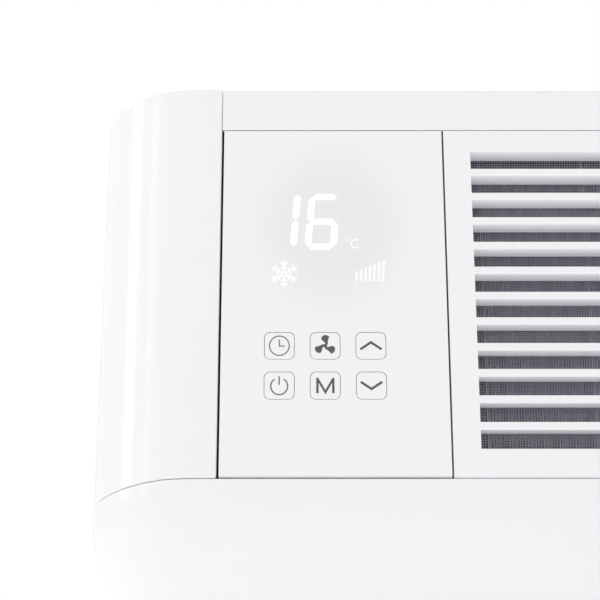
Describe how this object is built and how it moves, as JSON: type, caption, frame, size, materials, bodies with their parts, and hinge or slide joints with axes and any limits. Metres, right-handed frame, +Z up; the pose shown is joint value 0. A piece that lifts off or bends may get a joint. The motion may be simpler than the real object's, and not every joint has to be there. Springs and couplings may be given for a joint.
{
  "type": "window air conditioner",
  "caption": "Window air conditioner: rounded white room-side front with touch keys, hinged slotted intake grille and top outlet on a louvred steel cabinet.",
  "frame": {"origin": "middle of the footprint on the surface under the rubber feet", "axes": "+X to the right seen from the room, +Y from the room to outdoors, +Z up; the front faces -Y"},
  "size_m": [0.5, 0.42, 0.318],
  "materials": {
    "white_gloss": "glossy moulded ABS",
    "white_satin": "fine satin moulded ABS",
    "inner_plastic": "matte moulded plastic",
    "filter_mesh": "fine woven polypropylene mesh in a moulded frame",
    "coil_fins": "thin pressed fins",
    "circuit_board": "solder-masked board",
    "cabinet_steel": "powder-coated sheet steel",
    "zinc_steel": "galvanised sheet steel",
    "shaft_steel": "ground bar",
    "capacitor_can": "drawn can",
    "black_paint": "satin black enamel",
    "black_plastic": "moulded plastic",
    "foam_plastic": "expanded polystyrene and moulded plastic",
    "copper": "drawn copper tube",
    "rubber": "moulded rubber"
  },
  "bodies": {
    "housing": {"left_end_cap": "white_gloss", "right_end_cap": "white_gloss", "chin_shell": "white_gloss", "top_cover": "white_gloss", "control_fascia": "white_satin", "key_board": "circuit_board", "display_board": "circuit_board", "evaporator_coil": "coil_fins", "drain_trough": "foam_plastic", "blower_housing": "foam_plastic", "front_frame": "inner_plastic", "fan_motor": "black_paint", "motor_bracket": "zinc_steel", "bulkhead": "cabinet_steel", "fan_shroud": "foam_plastic", "condenser_coil": "coil_fins", "compressor": "black_paint", "grommet_1": "rubber", "grommet_2": "rubber", "grommet_3": "rubber", "accumulator": "black_paint", "terminal_cover": "black_plastic", "discharge_pipe": "copper", "suction_pipe": "copper", "capillary_tube": "copper", "control_box": "inner_plastic", "capacitor": "capacitor_can", "cord_gland": "rubber", "base_pan": "zinc_steel", "cabinet_sleeve": "cabinet_steel", "rear_guard": "cabinet_steel", "foot_1": "rubber", "cabinet_screw_1": "zinc_steel", "foot_2": "rubber", "cabinet_screw_2": "zinc_steel", "foot_3": "rubber", "cabinet_screw_3": "zinc_steel", "foot_4": "rubber", "cabinet_screw_4": "zinc_steel"},
    "timer_key": {"timer_key": "white_satin"},
    "fan_key": {"fan_key": "white_satin"},
    "up_key": {"up_key": "white_satin"},
    "power_key": {"power_key": "white_satin"},
    "mode_key": {"mode_key": "white_satin"},
    "down_key": {"down_key": "white_satin"},
    "grille_door": {"intake_grille": "white_gloss"},
    "filter": {"air_filter": "filter_mesh"},
    "louvre_1": {"louvre_1": "white_gloss"},
    "louvre_2": {"louvre_2": "white_gloss"},
    "louvre_3": {"louvre_3": "white_gloss"},
    "vane_1": {"vane_1": "white_gloss"},
    "vane_2": {"vane_2": "white_gloss"},
    "vane_3": {"vane_3": "white_gloss"},
    "vane_4": {"vane_4": "white_gloss"},
    "vane_5": {"vane_5": "white_gloss"},
    "vane_link": {"vane_link": "white_gloss"},
    "rotor": {"fan_shaft": "shaft_steel", "blower_wheel": "inner_plastic", "condenser_fan": "black_plastic"}
  },
  "joints": [
    {"name": "timer_key_press", "type": "slide", "parent": "housing", "child": "timer_key", "axis": [0, 1, 0], "range_m": [0, 0.0006], "stiffness_N_per_m": 1200, "springref_m": -0.0004},
    {"name": "fan_key_press", "type": "slide", "parent": "housing", "child": "fan_key", "axis": [0, 1, 0], "range_m": [0, 0.0006], "stiffness_N_per_m": 1200, "springref_m": -0.0004},
    {"name": "up_key_press", "type": "slide", "parent": "housing", "child": "up_key", "axis": [0, 1, 0], "range_m": [0, 0.0006], "stiffness_N_per_m": 1200, "springref_m": -0.0004},
    {"name": "power_key_press", "type": "slide", "parent": "housing", "child": "power_key", "axis": [0, 1, 0], "range_m": [0, 0.0006], "stiffness_N_per_m": 1200, "springref_m": -0.0004},
    {"name": "mode_key_press", "type": "slide", "parent": "housing", "child": "mode_key", "axis": [0, 1, 0], "range_m": [0, 0.0006], "stiffness_N_per_m": 1200, "springref_m": -0.0004},
    {"name": "down_key_press", "type": "slide", "parent": "housing", "child": "down_key", "axis": [0, 1, 0], "range_m": [0, 0.0006], "stiffness_N_per_m": 1200, "springref_m": -0.0004},
    {"name": "grille_hinge", "type": "hinge", "parent": "housing", "child": "grille_door", "pos_m": [0.0626, -0.201, 0.101], "axis": [1, 0, 0], "range_deg": [0, 60]},
    {"name": "filter_slide", "type": "slide", "parent": "housing", "child": "filter", "axis": [0, 0, 1], "range_m": [0, 0.2]},
    {"name": "louvre_1_turn", "type": "hinge", "parent": "housing", "child": "louvre_1", "pos_m": [0.0626, -0.14183, 0.309], "axis": [1, 0, 0], "range_deg": [0, 75]},
    {"name": "louvre_2_turn", "type": "hinge", "parent": "housing", "child": "louvre_2", "pos_m": [0.0626, -0.1255, 0.309], "axis": [1, 0, 0], "range_deg": [0, 75]},
    {"name": "louvre_3_turn", "type": "hinge", "parent": "housing", "child": "louvre_3", "pos_m": [0.0626, -0.10917, 0.309], "axis": [1, 0, 0], "range_deg": [0, 75]},
    {"name": "vane_1_turn", "type": "hinge", "parent": "housing", "child": "vane_1", "pos_m": [-0.0114, -0.1255, 0.27], "axis": [0, 1, 0], "range_deg": [-25, 25]},
    {"name": "vane_2_turn", "type": "hinge", "parent": "housing", "child": "vane_2", "pos_m": [0.0256, -0.1255, 0.27], "axis": [0, 1, 0], "range_deg": [-25, 25]},
    {"name": "vane_3_turn", "type": "hinge", "parent": "housing", "child": "vane_3", "pos_m": [0.0626, -0.1255, 0.27], "axis": [0, 1, 0], "range_deg": [-25, 25]},
    {"name": "vane_4_turn", "type": "hinge", "parent": "housing", "child": "vane_4", "pos_m": [0.0996, -0.1255, 0.27], "axis": [0, 1, 0], "range_deg": [-25, 25]},
    {"name": "vane_5_turn", "type": "hinge", "parent": "housing", "child": "vane_5", "pos_m": [0.1366, -0.1255, 0.27], "axis": [0, 1, 0], "range_deg": [-25, 25]},
    {"name": "vane_link_shift", "type": "slide", "parent": "housing", "child": "vane_link", "axis": [1, 0, 0], "range_m": [-0.00589, 0.00589]},
    {"name": "rotor_spin", "type": "hinge", "parent": "housing", "child": "rotor", "pos_m": [0.0626, 0, 0.1548], "axis": [0, 1, 0], "continuous": true}
  ],
  "couplings": [
    {"joint": "louvre_2_turn", "follows": "louvre_1_turn", "ratio": 1},
    {"joint": "louvre_3_turn", "follows": "louvre_1_turn", "ratio": 1},
    {"joint": "vane_1_turn", "follows": "vane_link_shift", "rad_per_m": -74.074},
    {"joint": "vane_2_turn", "follows": "vane_link_shift", "rad_per_m": -74.074},
    {"joint": "vane_3_turn", "follows": "vane_link_shift", "rad_per_m": -74.074},
    {"joint": "vane_4_turn", "follows": "vane_link_shift", "rad_per_m": -74.074},
    {"joint": "vane_5_turn", "follows": "vane_link_shift", "rad_per_m": -74.074}
  ]
}
